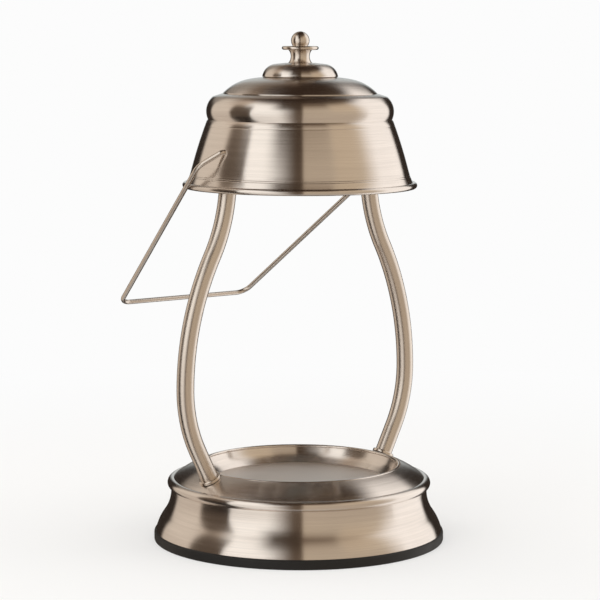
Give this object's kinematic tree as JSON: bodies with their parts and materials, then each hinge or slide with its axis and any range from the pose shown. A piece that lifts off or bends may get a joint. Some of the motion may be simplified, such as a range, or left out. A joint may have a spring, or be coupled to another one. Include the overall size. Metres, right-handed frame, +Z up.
{
  "type": "candle warmer lamp",
  "caption": "Table lamp that warms a jar candle: round dished base, bowed tubular arms, spun metal shade over a halogen lamp, and a swinging wire handle.",
  "frame": {"origin": "centre of the underside of the foam pad, on the table", "axes": "+Z up along the lamp's axis, the arms stand on +X and -X, the handle leans towards +Y, where the cord gland is"},
  "size_m": [0.1946, 0.2254, 0.3311],
  "materials": {
    "brushed_nickel": "warm nickel, fine circular brushing",
    "satin_nickel": "warm nickel, smooth satin",
    "plate_metal": "fine satin",
    "edging_rubber": "matt black",
    "foam_pad": "closed-cell foam",
    "zinc_steel": "zinc plated",
    "black_plastic": "moulded",
    "porcelain": "unglazed",
    "block_plastic": "moulded",
    "lead_sleeve": "woven glass sleeve",
    "reflector": "metallised glass",
    "lamp_glass": "clear",
    "pin_metal": "turned"
  },
  "bodies": {
    "lamp": {"base_pad": "foam_pad", "edging_ring": "edging_rubber", "bottom_plate": "zinc_steel", "base_shell": "brushed_nickel", "centre_post": "zinc_steel", "base_screw": "zinc_steel", "pan_screw": "zinc_steel", "candle_pan": "brushed_nickel", "pan_plate": "plate_metal", "cord_gland": "black_plastic", "gland_nut": "black_plastic", "terminal_block": "block_plastic", "arm_left": "satin_nickel", "arm_right": "satin_nickel", "foot_collars": "satin_nickel", "foot_plugs": "zinc_steel", "foot_studs": "zinc_steel", "foot_nuts": "zinc_steel", "top_plugs": "zinc_steel", "top_studs": "zinc_steel", "top_nuts": "zinc_steel", "lamp_bracket": "zinc_steel", "lamp_holder": "porcelain", "holder_screws": "zinc_steel", "supply_lead": "lead_sleeve", "shade_skirt": "brushed_nickel", "shade_dome": "brushed_nickel", "shade_rod": "zinc_steel", "rod_nut": "zinc_steel", "cap_collar": "satin_nickel", "cap_spacer": "zinc_steel", "shade_cap": "brushed_nickel", "finial": "satin_nickel"},
    "handle": {"handle": "satin_nickel"},
    "bulb": {"bulb_reflector": "reflector", "bulb_lens": "lamp_glass", "bulb_capsule": "lamp_glass", "bulb_base": "porcelain", "bulb_pins": "pin_metal"}
  },
  "joints": [
    {"name": "handle_swing", "type": "hinge", "parent": "lamp", "child": "handle", "pos_m": [0, -0.0065, 0.2558], "axis": [1, 0, 0], "range_deg": [0, 296]},
    {"name": "bulb_twist", "type": "hinge", "parent": "lamp", "child": "bulb", "pos_m": [0, 0, 0.2831], "axis": [0, 0, 1], "range_deg": [0, 28]}
  ]
}
